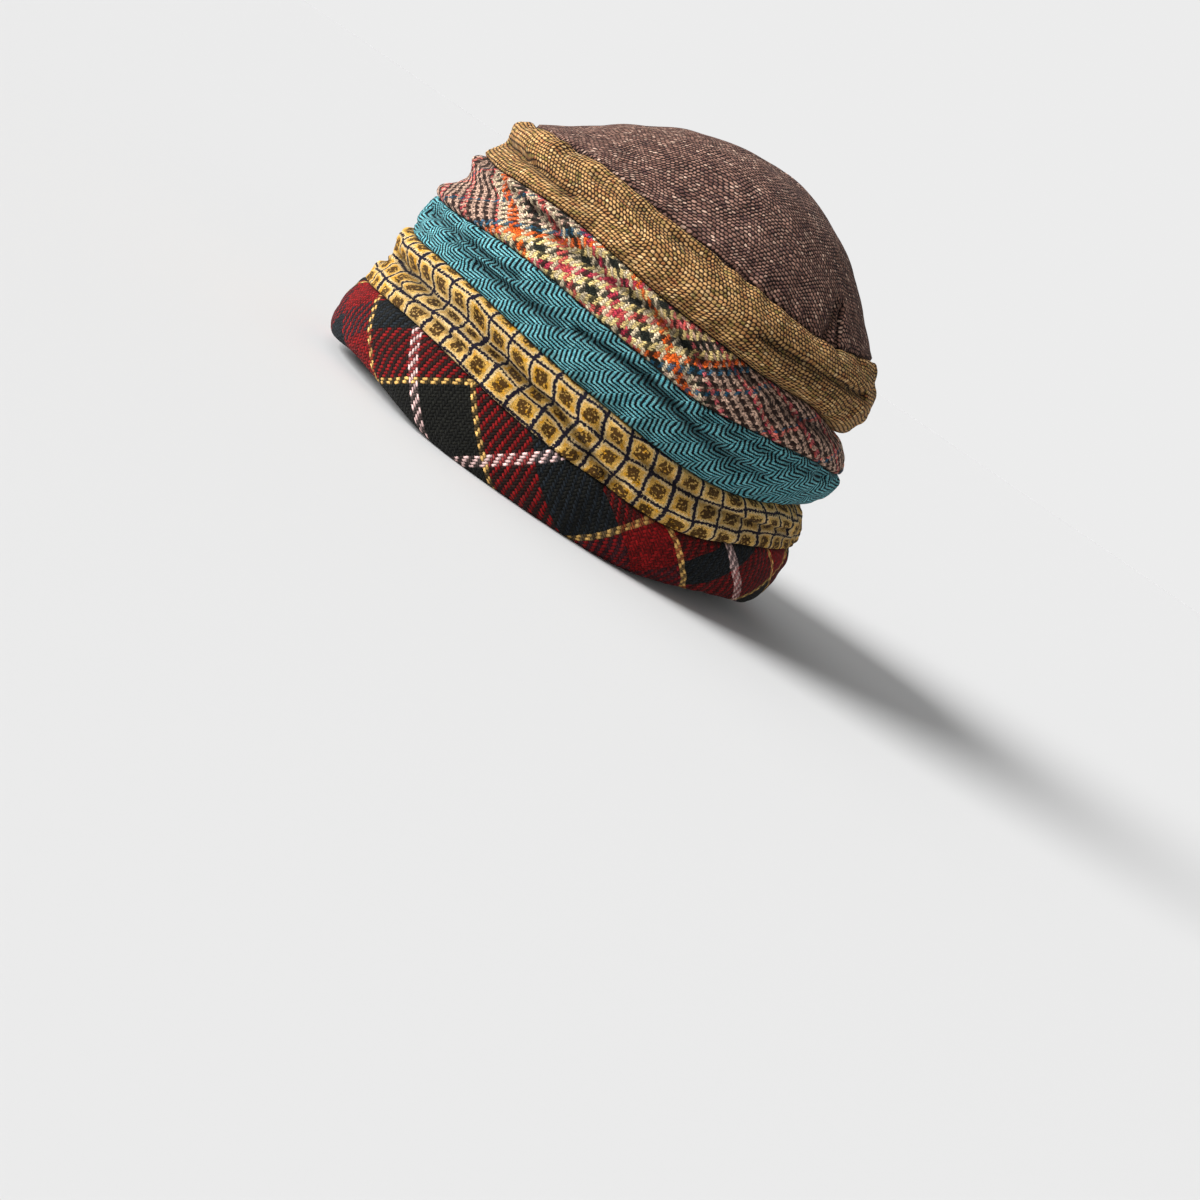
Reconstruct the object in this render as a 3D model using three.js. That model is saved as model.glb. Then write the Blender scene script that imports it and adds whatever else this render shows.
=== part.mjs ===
// A patchwork tweed toque: five sewn cloth bands under a domed crown, hollow for the head.
//
// Millimetres, +Z up. The wearer's face is towards -Y and the wearer's left towards +X. The origin is
// the middle of the rim, on the surface that the hat rests on. An angle around the hat is measured
// from the front: 90 degrees is the wearer's left, -90 the right and 180 the back.

import * as THREE from "three";

const STEPS_AROUND = 60;
const CLOTH = 1.9;                // a wall of wool cloth with its backing
const HEM_CLOTH = 2.8;            // the hem is folded double
const SEAM_GAP = 0.4;             // between the edges of two bands, along Z
const WIDEST_BEHIND_MIDDLE = 8;   // the head's oval is widest this far behind its middle, at the hem
const HEM_HALF_WIDTH = 85;
const SIDE_TO_END = 1.5;          // how late a height at the side turns into the one at front or back
const FOLD_RADIUS = 84;           // turns an angle into a length along the cloth, for folds

const DEGREE = Math.PI / 180;

// Turns rows of plain values into rows with named columns.
function table(columns, rows) {
  return rows.map((values) => Object.fromEntries(columns.map((name, place) => [name, values[place]])));
}

// Each section of a band, from its lower seam to its upper one: how far it reaches at the front, the
// side and the back, and at what height. A roll is a section that reaches out, a groove one that
// reaches in.
const SECTION = ["front", "frontZ", "side", "sideZ", "back", "backZ"];

// The seams, where two bands meet.
const [RIM, HEM_SEAM, PRINT_SEAM, HERRINGBONE_SEAM, CHECK_SEAM, CROWN_SEAM] = table(SECTION, [
  [-102.8, 0, 81.5, 0, 100.5, 0],
  [-103.5, 30, 82.8, 24.8, 105, 35],
  [-98, 57, 79.5, 49.2, 96.8, 52],
  [-96, 73.5, 79.5, 71.2, 103.8, 71],
  [-88.5, 97, 75.5, 91.5, 91.5, 84.5],
  [-78, 118, 66.8, 116, 88.5, 116.5],
]);

const BANDS = [
  {
    name: "hem_band",
    colour: 0x5f1a1d,
    cloth: HEM_CLOTH,
    tilt: [0, 0],
    from: RIM,
    to: HEM_SEAM,
    sections: [
      [-105.6, 3.5, 83.8, 3, 103.8, 3.5],
      [-107, 9.5, 85, 8, 106.6, 11],
      [-107.3, 16, 85.2, 13.5, 107.3, 19.5],
      [-106, 23.5, 84.4, 19.5, 107, 28],
    ],
  },
  {
    name: "print_band",
    colour: 0xa8803a,
    cloth: CLOTH,
    tilt: [0, 0],
    from: HEM_SEAM,
    to: PRINT_SEAM,
    sections: [
      [-103, 33.5, 83.5, 28, 105.5, 38.5],
      [-102.5, 37.5, 84, 32, 105, 42.5],
      [-101, 41, 83.5, 36, 104, 44.5],
      [-99, 44, 83, 39, 103, 46.5],
      [-100.5, 48.5, 82.5, 42.5, 101.5, 48.5],
      [-100.5, 53, 81.5, 46, 99.5, 50.5],
    ],
  },
  {
    name: "herringbone_band",
    colour: 0x2f6f78,
    cloth: CLOTH,
    tilt: [0, 0],
    from: PRINT_SEAM,
    to: HERRINGBONE_SEAM,
    sections: [
      [-97, 59.5, 81.5, 52.5, 100, 55],
      [-98, 62.5, 82.5, 57, 103.5, 59],
      [-97.5, 66.5, 82.5, 62.5, 105.5, 64],
      [-96.5, 70, 81.5, 67, 105.5, 68.5],
    ],
  },
  {
    name: "check_band",
    colour: 0x8a6a50,
    cloth: CLOTH,
    tilt: [0, 0],
    from: HERRINGBONE_SEAM,
    to: CHECK_SEAM,
    sections: [
      [-97, 76, 81, 74.5, 104, 73.5],
      [-95.5, 79.5, 81, 78.5, 102.5, 76.5],
      [-92, 82.5, 80.5, 82.5, 100.5, 79.5],
      [-89, 86, 79.5, 85.5, 98, 82],
      [-90.5, 90, 78.5, 88, 95.5, 83.2],
      [-91, 93.5, 77.5, 90, 93.5, 84],
    ],
  },
  {
    name: "tan_band",
    colour: 0x8f7143,
    cloth: CLOTH,
    tilt: [0, 42],
    from: CHECK_SEAM,
    to: CROWN_SEAM,
    sections: [
      [-88.5, 99.5, 77.5, 94.5, 95.5, 87],
      [-86, 102.5, 77.5, 99, 99, 92.5],
      [-83.5, 105.5, 76.5, 103.5, 99.5, 98.5],
      [-84.5, 109, 74.5, 107.5, 98, 105],
      [-84.5, 113, 71.5, 112, 94.5, 110],
      [-82, 116, 69.2, 114.5, 91.5, 114],
    ],
  },
  {
    name: "crown",
    colour: 0x5a4640,
    cloth: CLOTH,
    tilt: [42, 82],
    from: CROWN_SEAM,
    to: null,
    sections: [
      [-73, 121, 64.6, 118.8, 85.5, 119],
      [-66, 125.5, 62, 122.4, 81.8, 122.8],
      [-58.5, 130.5, 58, 127.7, 77, 127.2],
      [-51, 136, 53, 133, 72, 132.2],
      [-43, 141, 47, 139, 65.5, 137.5],
      [-34, 146, 39.5, 145, 57, 144],
      [-23, 151, 29.5, 150.5, 46, 150],
      [-8, 155.5, 16, 155, 32.5, 155.5],
    ],
  },
];
const CROWN_TOP = { y: 15, z: 158 };

// Where a seam, or the rim, runs higher or lower than its front, side and back heights say.
// Each row holds for both sides of the hat, so one at 0 or 180 degrees counts twice.
const SEAM_LIFTS = table(["seam", "angle", "spread", "lift"], [
  [RIM, 0, 60, 1.6],
  [RIM, 38, 32, 5.6],
  [RIM, 144, 36, 4.4],
  [RIM, 180, 70, 2],
  [HEM_SEAM, 48, 42, 4.1],
  [HEM_SEAM, 119, 30, -4.6],
  [PRINT_SEAM, 52, 38, 3],
  [PRINT_SEAM, 124, 44, -5.3],
  [HERRINGBONE_SEAM, 58, 38, 3.8],
  [HERRINGBONE_SEAM, 106, 22, -2.4],
  [HERRINGBONE_SEAM, 145, 24, 1.4],
  [CHECK_SEAM, 60, 38, 3.8],
  [CHECK_SEAM, 142, 26, 2.6],
  [CROWN_SEAM, 54, 42, 2.8],
  [CROWN_SEAM, 126, 40, -3.4],
]);

// Creases pressed into the cloth, each along a straight line from one angle and height to another.
const FOLDS = table(["fromAngle", "fromZ", "toAngle", "toZ", "depth", "width"], [
  [18, 45.8, 58, 46.8, 2.4, 3],
  [58, 46.8, 100, 25.8, 2.8, 3],
  [6, 35.8, 42, 46.8, 1.6, 2.6],
  [92, 38.8, 120, 34.8, 2.2, 2.8],
  [120, 34.8, 172, 39.8, 2.2, 2.8],
  [8, 68.8, 84, 67.3, 1.2, 2.4],
  [48, 63.3, 88, 65.8, 2.2, 2.8],
  [88, 65.8, 124, 55.3, 2.6, 3.2],
  [50, 92.3, 80, 88.8, 2, 2.8],
  [80, 88.8, 102, 81.3, 2.2, 2.8],
  [102, 81.3, 116, 85.8, 1.6, 2.6],
  [122, 79.8, 148, 85.8, 1.8, 2.6],
  [43, 115.8, 63, 99.8, 1.6, 4.5],
  [112, 99.8, 152, 97.3, 2.4, 3.6],
  [133, 114.8, 138, 125.8, 2.4, 2.8],
  [-15, 45.8, -75, 40.8, 2.2, 3],
  [-85, 36.8, -165, 38.8, 2.2, 3],
  [-40, 64.8, -112, 59.8, 2.2, 3],
  [-48, 91.8, -118, 81.8, 2, 3],
  [-105, 100.8, -155, 97.8, 2.2, 3.6],
]);

function mix(a, b, share) {
  return a + (b - a) * share;
}

// An angle difference brought to between -180 and 180 degrees.
function turn(degrees) {
  return ((((degrees + 180) % 360) + 360) % 360) - 180;
}

// How far a seam is lifted at an angle: soft bumps, one on each side of the hat for each row.
function seamLift(seam, angle) {
  let lift = 0;
  for (const row of SEAM_LIFTS.filter((each) => each.seam === seam)) {
    for (const side of [1, -1]) {
      const off = Math.min(1, Math.abs(turn(angle - side * row.angle)) / row.spread);
      lift += row.lift * (0.5 + 0.5 * Math.cos(Math.PI * off));
    }
  }
  return lift;
}

// How deep the folds are at a point of the cloth. Each falls off with the distance from its line, as
// a bell curve does. The fourth root of the sum of fourth powers lets the deeper fold win where two
// meet.
function foldDepth(angle, z) {
  let sum = 0;
  for (const fold of FOLDS) {
    const alongX = turn(fold.toAngle - fold.fromAngle) * DEGREE * FOLD_RADIUS;
    const alongZ = fold.toZ - fold.fromZ;
    const offX = turn(angle - fold.fromAngle) * DEGREE * FOLD_RADIUS;
    const offZ = z - fold.fromZ;
    const share = (offX * alongX + offZ * alongZ) / (alongX * alongX + alongZ * alongZ);
    const nearest = Math.min(1, Math.max(0, share));
    const distance = Math.hypot(offX - nearest * alongX, offZ - nearest * alongZ);
    sum += (fold.depth * Math.exp(-((distance / fold.width) ** 2))) ** 4;
  }
  return sum ** 0.25;
}

// A point of the smooth oval of a section, and the direction straight out of the cloth there.
// The oval is two half ellipses, a longer one in front and a shorter one behind its widest place.
function sectionPoint(section, angle, lift, tilt) {
  const across = Math.sin(angle * DEGREE);
  const ahead = Math.cos(angle * DEGREE);
  const widest = (section.front + section.back) / 2
    + WIDEST_BEHIND_MIDDLE * section.side / HEM_HALF_WIDTH;
  const end = ahead > 0 ? section.front : section.back;
  const endZ = ahead > 0 ? section.frontZ : section.backZ;
  const length = Math.abs(end - widest);
  const outward = new THREE.Vector3(length * across, -section.side * ahead, 0).normalize();
  outward.multiplyScalar(Math.cos(tilt * DEGREE));
  outward.z = Math.sin(tilt * DEGREE);
  const z = mix(section.sideZ, endZ, Math.abs(ahead) ** SIDE_TO_END) + lift;
  const point = new THREE.Vector3(section.side * across, widest - length * ahead, z);
  return { point, outward };
}

// The outer and inner points of one section of a band, once around the hat.
function ring(band, section, share, gap) {
  const outer = [];
  const inner = [];
  for (let step = 0; step < STEPS_AROUND; step += 1) {
    const angle = turn(step * 360 / STEPS_AROUND);
    const upper = band.to ? seamLift(band.to, angle) : 0;
    const lift = mix(seamLift(band.from, angle), upper, share) + gap;
    const tilt = mix(band.tilt[0], band.tilt[1], share);
    const { point, outward } = sectionPoint(section, angle, lift, tilt);
    point.addScaledVector(outward, -foldDepth(angle, point.z));
    outer.push(point);
    inner.push(point.clone().addScaledVector(outward, -band.cloth));
  }
  return { outer, inner };
}

// The rings of a band, from its lower edge up. The edges stand half a gap back from the seams, and
// the rim stands on the surface.
function bandRings(band) {
  const sections = [band.from, ...table(SECTION, band.sections)];
  if (band.to) sections.push(band.to);
  const last = sections.length - 1;
  return sections.map((section, place) => {
    let gap = 0;
    if (place === 0 && band.from !== RIM) gap = SEAM_GAP / 2;
    if (place === last && band.to) gap = -SEAM_GAP / 2;
    return ring(band, section, place / last, gap);
  });
}

// Two triangles between each pair of neighbours on two loops, facing away from the cloth. The edge
// between the two runs down towards the back on the wearer's left, as most folds do.
function strip(faces, below, above) {
  for (let step = 0; step < STEPS_AROUND; step += 1) {
    const next = (step + 1) % STEPS_AROUND;
    faces.push(below[step], below[next], above[step]);
    faces.push(below[next], above[next], above[step]);
  }
}

function fan(faces, loop, middle) {
  for (let step = 0; step < STEPS_AROUND; step += 1) {
    faces.push(loop[step], loop[(step + 1) % STEPS_AROUND], middle);
  }
}

// One closed wall of cloth: up the outside, over the upper edge, or over the top of the crown, and
// down the inside to the lower edge.
function bandGeometry(band) {
  const rings = bandRings(band);
  const places = [];
  const addPoint = (point) => {
    places.push(point.x, point.y, point.z);
    return places.length / 3 - 1;
  };
  const outer = rings.map((each) => each.outer.map(addPoint));
  const inner = rings.map((each) => each.inner.map(addPoint));
  const top = rings.length - 1;
  const faces = [];
  for (let row = 0; row < top; row += 1) {
    strip(faces, outer[row], outer[row + 1]);
    strip(faces, inner[row + 1], inner[row]);
  }
  strip(faces, inner[0], outer[0]);
  if (band.to) {
    strip(faces, outer[top], inner[top]);
  } else {
    const outerTop = new THREE.Vector3(0, CROWN_TOP.y, CROWN_TOP.z);
    const innerTop = new THREE.Vector3(0, CROWN_TOP.y, CROWN_TOP.z - band.cloth);
    fan(faces, outer[top], addPoint(outerTop));
    fan(faces, [...inner[top]].reverse(), addPoint(innerTop));
  }
  const geometry = new THREE.BufferGeometry();
  geometry.setAttribute("position", new THREE.Float32BufferAttribute(places, 3));
  geometry.setIndex(faces);
  geometry.computeVertexNormals();
  return geometry;
}

const toque = new THREE.Group();
for (const band of BANDS) {
  const material = new THREE.MeshStandardMaterial({ color: band.colour, roughness: 0.95, metalness: 0 });
  const mesh = new THREE.Mesh(bandGeometry(band), material);
  mesh.name = band.name;
  toque.add(mesh);
}

export default toque;
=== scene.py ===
"""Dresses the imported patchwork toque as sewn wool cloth, on a pale floor in soft studio light.

The hat is six pieces of cloth: a tartan hem, a printed band, a herringbone band, a check band, a tan
hopsack band and a plum tweed crown. Each piece is a closed wall worked out from the same sections,
seams and folds as its solid, only finer, with its edges rolled into the seams. Its UV map is laid out
in millimetres of real cloth, so that every weave keeps its true scale.
"""

import logging
import math
from dataclasses import dataclass
from enum import Enum
from typing import Any, NamedTuple, Sequence

import bpy
import numpy as np
from mathutils import Matrix, Vector


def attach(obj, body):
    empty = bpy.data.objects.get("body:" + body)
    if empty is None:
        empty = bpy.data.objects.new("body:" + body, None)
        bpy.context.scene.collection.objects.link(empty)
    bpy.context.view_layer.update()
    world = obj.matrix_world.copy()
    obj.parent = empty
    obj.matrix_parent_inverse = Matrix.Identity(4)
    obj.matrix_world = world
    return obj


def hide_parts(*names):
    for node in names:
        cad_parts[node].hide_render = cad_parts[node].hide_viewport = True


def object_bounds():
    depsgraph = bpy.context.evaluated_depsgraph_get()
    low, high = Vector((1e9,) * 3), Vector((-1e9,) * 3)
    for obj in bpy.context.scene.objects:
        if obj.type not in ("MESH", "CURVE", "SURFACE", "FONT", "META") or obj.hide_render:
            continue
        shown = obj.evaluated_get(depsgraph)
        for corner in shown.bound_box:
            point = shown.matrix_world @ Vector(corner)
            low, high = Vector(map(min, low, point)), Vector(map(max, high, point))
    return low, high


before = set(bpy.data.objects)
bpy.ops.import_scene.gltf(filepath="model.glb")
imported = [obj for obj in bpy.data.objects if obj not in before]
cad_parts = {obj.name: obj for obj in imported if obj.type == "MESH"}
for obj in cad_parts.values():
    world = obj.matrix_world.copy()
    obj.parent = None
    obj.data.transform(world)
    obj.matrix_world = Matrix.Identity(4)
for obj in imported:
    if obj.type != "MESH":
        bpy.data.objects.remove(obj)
CAD_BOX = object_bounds()

log = logging.getLogger("toque")

MM = 0.001
UV_NAME = "cloth"
# Painted shade: a vertex attribute that darkens the base colour in folds, creases, wrinkle valleys and beside
# the seams, at most by the share below.
PAINTED_SHADE_NAME = "painted_shade"
PAINTED_SHADE_STRENGTH = 0.62
CREASE_DEPTH = 1.7
CLOTH = 1.9
HEM_CLOTH = 2.8

Array = np.ndarray
Colour = tuple[float, float, float]


# ---------------------------------------------------------------- the form of the hat, in millimetres


class Section(NamedTuple):
    """How far one level of the cloth reaches at the front, side and back, and at what height."""

    front: float
    front_z: float
    side: float
    side_z: float
    back: float
    back_z: float


class Lift(NamedTuple):
    """A soft bump in a seam, on both sides of the hat: its angle, its half width and its height.

    One at 0 or 180 degrees counts twice.
    """

    angle: float
    spread: float
    height: float


class Fold(NamedTuple):
    """A crease pressed into the cloth along a straight line between two places."""

    from_angle: float
    from_z: float
    to_angle: float
    to_z: float
    depth: float
    width: float


@dataclass(frozen=True)
class Seam:
    """The line where two bands meet."""

    section: Section
    lifts: tuple[Lift, ...] = ()

    def lift(self, angles: Array) -> Array:
        """How far the seam is lifted at each angle.

        Each bump is height * (1 + cos(pi * off)) / 2, where off is the distance from the bump's angle
        as a share of its spread, at most 1.

        Args:
            angles: angles around the hat, in degrees.

        Returns:
            The lift at each angle.
        """
        total = np.zeros_like(angles)
        for row in self.lifts:
            for side in (1, -1):
                off = np.minimum(1, np.abs(turn(angles - side * row.angle)) / row.spread)
                total += row.height * (0.5 + 0.5 * np.cos(np.pi * off))
        return total


RIM = Seam(
    Section(-102.8, 0, 81.5, 0, 100.5, 0),
    (Lift(0, 60, 1.6), Lift(38, 32, 5.6), Lift(144, 36, 4.4), Lift(180, 70, 2)),
)
HEM_SEAM = Seam(Section(-103.5, 30, 82.8, 24.8, 105, 35), (Lift(48, 42, 4.1), Lift(119, 30, -4.6)))
PRINT_SEAM = Seam(Section(-98, 57, 79.5, 49.2, 96.8, 52), (Lift(52, 38, 3), Lift(124, 44, -5.3)))
HERRINGBONE_SEAM = Seam(
    Section(-96, 73.5, 79.5, 71.2, 103.8, 71), (Lift(58, 38, 3.8), Lift(106, 22, -2.4), Lift(145, 24, 1.4)),
)
CHECK_SEAM = Seam(Section(-88.5, 97, 75.5, 91.5, 91.5, 84.5), (Lift(60, 38, 3.8), Lift(142, 26, 2.6)))
CROWN_SEAM = Seam(Section(-78, 118, 66.8, 116, 88.5, 116.5), (Lift(54, 42, 2.8), Lift(126, 40, -3.4)))
CROWN_TOP = Seam(Section(15, 158, 0, 158, 15, 158))

FOLDS = (
    Fold(18, 45.8, 58, 46.8, 2.4, 3),
    Fold(58, 46.8, 100, 25.8, 2.8, 3),
    Fold(6, 35.8, 42, 46.8, 1.6, 2.6),
    Fold(92, 38.8, 120, 34.8, 2.2, 2.8),
    Fold(120, 34.8, 172, 39.8, 2.2, 2.8),
    Fold(8, 68.8, 84, 67.3, 1.2, 2.4),
    Fold(48, 63.3, 88, 65.8, 2.2, 2.8),
    Fold(88, 65.8, 124, 55.3, 2.6, 3.2),
    Fold(50, 92.3, 80, 88.8, 2, 2.8),
    Fold(80, 88.8, 102, 81.3, 2.2, 2.8),
    Fold(102, 81.3, 116, 85.8, 1.6, 2.6),
    Fold(122, 79.8, 148, 85.8, 1.8, 2.6),
    Fold(43, 115.8, 63, 99.8, 1.6, 4.5),
    Fold(112, 99.8, 152, 97.3, 2.4, 3.6),
    Fold(133, 114.8, 138, 125.8, 2.4, 2.8),
    Fold(-15, 45.8, -75, 40.8, 2.2, 3),
    Fold(-85, 36.8, -165, 38.8, 2.2, 3),
    Fold(-40, 64.8, -112, 59.8, 2.2, 3),
    Fold(-48, 91.8, -118, 81.8, 2, 3),
    Fold(-105, 100.8, -155, 97.8, 2.2, 3.6),
)

CREASES = (
    Fold(17, 45.6, 51, 42.5, 1.4, 1.3),
    Fold(51, 42.5, 81, 38.4, 1.5, 1.2),
    Fold(81, 38.4, 98, 27.9, 1.5, 1.3),
    Fold(30, 39.2, 61, 36.2, 1.2, 1.2),
    Fold(-10, 38.5, 12, 41, 1.3, 1.4),
    Fold(104, 39.6, 125, 37.8, 1.2, 1.3),
    Fold(125, 37.8, 158, 42.8, 1.4, 1.3),
    Fold(36, 65.2, 73, 62.3, 1.5, 1.4),
    Fold(75, 65.8, 92, 66.1, 1.6, 1.3),
    Fold(92, 65.6, 110, 58.9, 1.7, 1.4),
    Fold(110, 58.9, 132, 58.2, 1.1, 1.5),
    Fold(15, 67.3, 58, 68.3, 1.3, 1.3),
    Fold(108, 65.6, 155, 69, 1.1, 1.4),
    Fold(58, 88.2, 84, 86.2, 1.5, 1.4),
    Fold(84, 86.2, 101, 81.2, 1.5, 1.3),
    Fold(12, 95.6, 57, 91.4, 1.4, 1.5),
    Fold(110, 86.4, 132, 83.2, 1.2, 1.4),
    Fold(132, 83.2, 160, 84, 1.2, 1.3),
    Fold(108, 101.3, 156, 104, 1.6, 1.6),
    Fold(10, 107.3, 52, 104.2, 1.5, 1.7),
    Fold(56, 114.9, 88, 112.8, 0.9, 2.2),
    Fold(138, 113.4, 142, 127, 1.5, 1.5),
    Fold(-10, 67, -60, 63, 1.3, 1.4),
    Fold(-60, 45, -110, 41, 1.4, 1.3),
    Fold(-120, 42, -165, 45, 1.3, 1.3),
    Fold(-40, 93.5, -95, 87, 1.4, 1.4),
    Fold(-110, 66, -160, 62, 1.3, 1.4),
    Fold(-30, 106, -85, 101, 1.4, 1.7),
)


def turn(degrees: Array | float) -> Array | float:
    """Brings an angle difference to between -180 and 180 degrees."""
    return (degrees + 180) % 360 - 180


def smooth_rows(rows: Array, places: Array, after: Array | None = None) -> Array:
    """Reads a table between its rows, along Catmull-Rom curves through them.

    Between rows b and c, with a before and d after, at a share t of the way:
    (2b + (c - a)t + (2a - 5b + 4c - d)t^2 + (3b - a - 3c + d)t^3) / 2.

    Args:
        rows: the table, one row for each whole place.
        places: the places to read at, from 0 to the last row.
        after: the row that would follow the last one; None mirrors the row before it.

    Returns:
        One row for each place.
    """
    first = 2 * rows[0] - rows[1]
    last = 2 * rows[-1] - rows[-2] if after is None else after
    padded = np.vstack([first, rows, last])
    whole = np.clip(np.floor(places).astype(int), 0, len(rows) - 2)
    t = (places - whole)[:, None]
    a, b, c, d = (padded[whole + step] for step in range(4))
    return (2 * b + (c - a) * t + (2 * a - 5 * b + 4 * c - d) * t**2 + (3 * b - a - 3 * c + d) * t**3) / 2


@dataclass(frozen=True)
class HatForm:
    """The oval of the head and the way that cloth folds and crumples round it."""

    widest_behind_middle: float = 8
    hem_half_width: float = 85
    side_to_end: float = 1.5
    fold_radius: float = 84
    crumple: float = 0.26
    pucker: float = 0.7
    wrinkle: float = 1.1
    crumple_waves: int = 26
    crumple_seed: int = 7

    def ring(self, sections: Array, lifts: Array, tilts: Array, angles: Array) -> tuple[Array, Array]:
        """The smooth ovals of some sections, and the direction straight out of the cloth.

        A point is (side sin a, widest - length cos a), where length is the reach from the widest place
        to the front or to the back. Its height goes from the side's to the end's as |cos a|^1.5.

        Args:
            sections: one section a row, six columns.
            lifts: how far each point is lifted, one row a section.
            tilts: how far the cloth leans back from upright, in degrees, one a section.
            angles: angles around the hat, in degrees.

        Returns:
            The points and the outward directions, each of shape (sections, angles, 3).
        """
        front, front_z, side, side_z, back, back_z = (sections[:, [k]] for k in range(6))
        across = np.sin(np.radians(angles))[None, :]
        ahead = np.cos(np.radians(angles))[None, :]
        widest = (front + back) / 2 + self.widest_behind_middle * side / self.hem_half_width
        length = np.abs(np.where(ahead > 0, front, back) - widest)
        end_z = np.where(ahead > 0, front_z, back_z)
        z = side_z + (end_z - side_z) * np.abs(ahead) ** self.side_to_end + lifts
        points = np.stack([side * across, widest - length * ahead, z], axis=-1)
        flat = np.stack([length * across, -side * ahead], axis=-1)
        flat /= np.maximum(np.linalg.norm(flat, axis=-1, keepdims=True), 1e-9)
        lean = np.radians(tilts)[:, None, None]
        outward = np.concatenate([flat * np.cos(lean), np.broadcast_to(np.sin(lean), z[..., None].shape)], -1)
        return points, outward

    def fold_depth(self, folds: Sequence[Fold], angles: Array, z: Array) -> Array:
        """How deep the folds are: each is depth * exp(-(distance / width)^2), and they meet as the
        fourth root of the sum of their fourth powers.

        Args:
            folds: the folds or the finer creases.
            angles: angles around the hat, in degrees, one a column of z.
            z: the heights of the points.

        Returns:
            The depth at each point.
        """
        total = np.zeros_like(z)
        for fold in folds:
            along_x = math.radians(turn(fold.to_angle - fold.from_angle)) * self.fold_radius
            along_z = fold.to_z - fold.from_z
            off_x = np.radians(turn(angles - fold.from_angle))[None, :] * self.fold_radius
            off_z = z - fold.from_z
            share = (off_x * along_x + off_z * along_z) / (along_x**2 + along_z**2)
            nearest = np.clip(share, 0, 1)
            distance = np.hypot(off_x - nearest * along_x, off_z - nearest * along_z)
            total += (fold.depth * np.exp(-((distance / fold.width) ** 2))) ** 4
        return total**0.25

    def crumples(self, points: Array) -> Array:
        """Small unevenness of soft cloth: a sum of long and short waves in space.

        Args:
            points: places on the cloth.

        Returns:
            How far each place is pushed out, about crumple millimetres at most.
        """
        dice = np.random.default_rng(self.crumple_seed)
        total = np.zeros(points.shape[:-1])
        for _ in range(self.crumple_waves):
            direction = dice.normal(size=3)
            direction /= np.linalg.norm(direction)
            wavelength = dice.uniform(9, 34)
            phase = dice.uniform(0, 2 * math.pi)
            total += wavelength * np.sin(points @ direction * (2 * math.pi / wavelength) + phase)
        return self.crumple * total / (np.abs(total).max() / 1.6)

    def wrinkles(self, angles: Array, z: Array) -> Array:
        """Shallow creases that run round the hat: sharp valleys between soft ridges.

        Each wave is |sin(phase)| - 0.64, its phase growing upward and bending along the band, and it
        fades in and out round the hat.

        Args:
            angles: angles around the hat, in degrees.
            z: the heights of the points.

        Returns:
            How far each place is pushed out, in millimetres.
        """
        dice = np.random.default_rng(self.crumple_seed + 1)
        across = np.radians(angles)[None, :]
        total = np.zeros_like(z)
        for _ in range(9):
            turns = dice.integers(2, 9, 3)
            starts = dice.uniform(0, 2 * math.pi, 3)
            bend = 2.2 * np.sin(turns[0] * across + starts[0])
            bend = bend + 1.1 * np.sin((turns[1] + 6) * across + starts[1])
            phase = (z + bend) * (math.pi / dice.uniform(7, 13)) + dice.uniform(0, math.pi)
            strength = np.clip(np.sin(turns[2] * across + starts[2]), 0, 1)
            total += strength * (np.abs(np.sin(phase)) ** 0.7 - 0.64)
        return self.wrinkle * total / 2

    def puckers(self, angles: Array, from_lower: Array, from_upper: Array) -> Array:
        """Small gathers beside the seams: upright ripples that die away within a few millimetres.

        Args:
            angles: angles around the hat, in degrees.
            from_lower: how far each point is from the lower seam.
            from_upper: how far each point is from the upper seam.

        Returns:
            How far each place is pushed out, in millimetres.
        """
        dice = np.random.default_rng(self.crumple_seed + 2)
        across = np.radians(angles)[None, :]
        total = np.zeros_like(from_lower)
        for distance in (from_lower, from_upper):
            ripple = np.zeros_like(across)
            for _ in range(7):
                ripple = ripple + np.sin(dice.integers(14, 52) * across + dice.uniform(0, 2 * math.pi))
            total += ripple / 2.6 * (distance / 2.5) * np.exp(1 - distance / 2.5)
        return self.pucker * total


FORM = HatForm()


# ---------------------------------------------------------------------------------- shader graphs


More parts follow.
